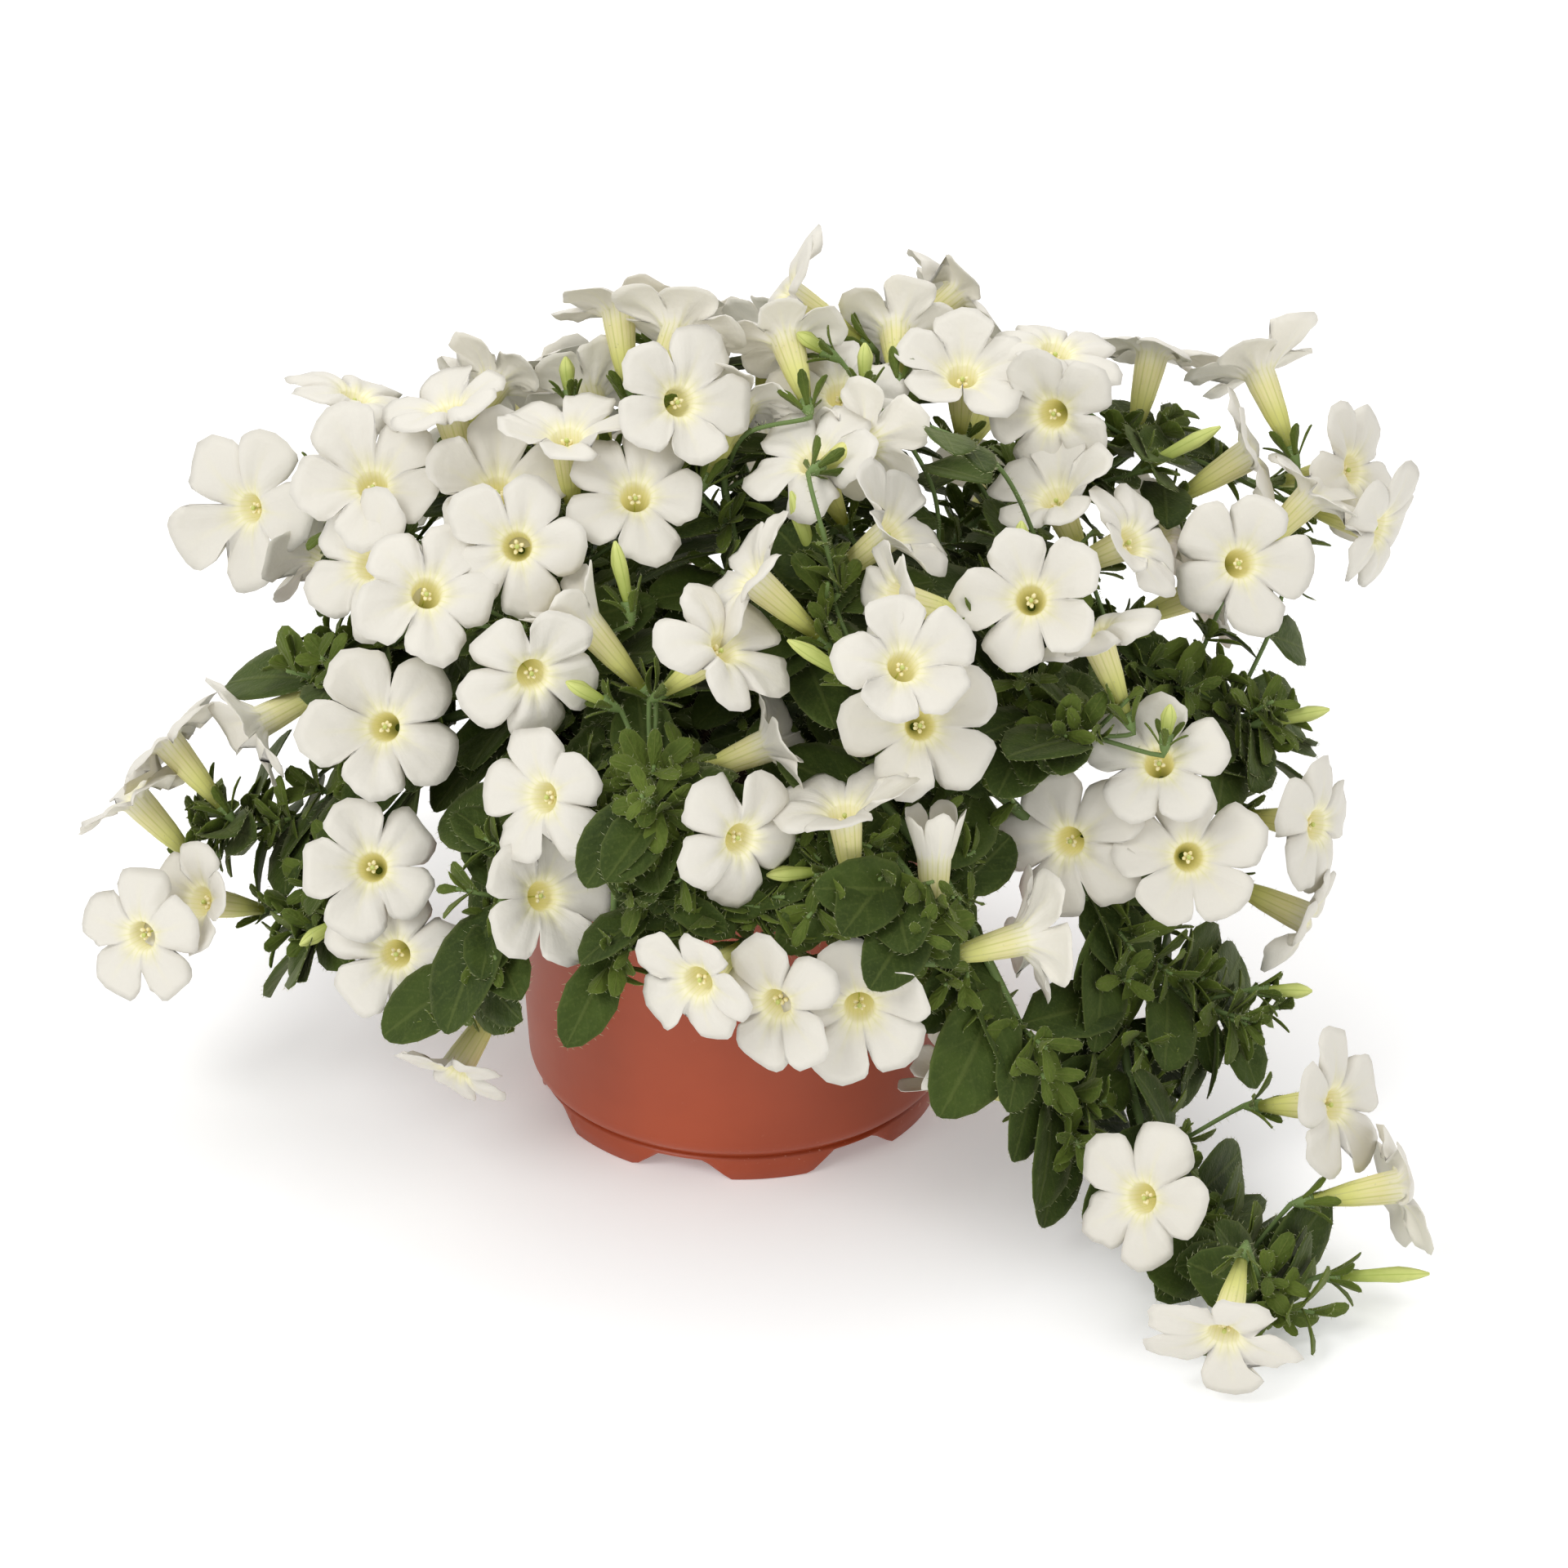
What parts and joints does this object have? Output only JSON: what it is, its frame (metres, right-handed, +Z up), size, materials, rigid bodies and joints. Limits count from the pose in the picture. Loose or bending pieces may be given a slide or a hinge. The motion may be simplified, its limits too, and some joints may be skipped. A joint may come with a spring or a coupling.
{
  "type": "potted petunia",
  "caption": "Mounding and trailing white petunia in a round terracotta-coloured plastic nursery pot filled with soil, with leafy stems and open trumpet flowers.",
  "frame": {"origin": "on the ground under the centre of the pot, which is also about the centre of the plant's box", "axes": "+Z up along the pot's axis, -Y towards the viewer of the picture, +X to the viewer's right"},
  "size_m": [0.4196, 0.3972, 0.2708],
  "materials": {
    "pot": "satin moulded polypropylene",
    "soil": "damp crumbly potting compost",
    "leaf": "dull hairy green leaves and stems",
    "bloom": "thin matt white petals with a yellow throat"
  },
  "bodies": {
    "root": {"pot": "pot", "soil": "soil", "leafy_stem_back_left": "leaf", "leafy_stem_back_right": "leaf", "leafy_stem_centre_right": "leaf", "leafy_stem_crown": "leaf", "leafy_stem_crown_back": "leaf", "leafy_stem_crown_left": "leaf", "leafy_stem_front_left": "leaf", "leafy_stem_front_right": "leaf", "leafy_stem_left": "leaf", "leafy_stem_right": "leaf", "leafy_stem_trailing_left": "leaf", "leafy_stem_trailing_right": "leaf", "bloom_back_left": "bloom", "bloom_back_low_left": "bloom", "bloom_back_low_middle": "bloom", "bloom_back_low_right": "bloom", "bloom_back_right": "bloom", "bloom_back_top": "bloom", "bloom_back_top_middle": "bloom", "bloom_centre_right": "bloom", "bloom_crown_back": "bloom", "bloom_crown_top": "bloom", "bloom_front_right": "bloom", "bloom_half_open": "bloom", "bloom_left": "bloom", "bloom_left_back": "bloom", "bloom_left_side": "bloom", "bloom_left_top": "bloom", "bloom_long_trumpet": "bloom", "bloom_pot_left": "bloom", "bloom_right": "bloom", "bloom_right_crown": "bloom", "bloom_right_top": "bloom", "bloom_right_turned": "bloom", "bloom_trailing_left": "bloom", "bloom_trailing_right": "bloom", "bloom_trailing_side": "bloom", "bloom_trailing_tip": "bloom", "blooms_back_middle": "bloom", "blooms_back_right_side": "bloom", "blooms_back_top_left": "bloom", "blooms_back_top_right": "bloom", "blooms_centre": "bloom", "blooms_centre_left": "bloom", "blooms_crown": "bloom", "blooms_crown_left": "bloom", "blooms_crown_right": "bloom", "blooms_far_right": "bloom", "blooms_front_right": "bloom", "blooms_left_crown": "bloom", "blooms_left_hanging": "bloom", "blooms_left_low": "bloom", "blooms_left_tip": "bloom", "blooms_middle_left": "bloom", "blooms_over_pot": "bloom", "blooms_right_side": "bloom", "blooms_upper_left": "bloom"}
  },
  "joints": []
}
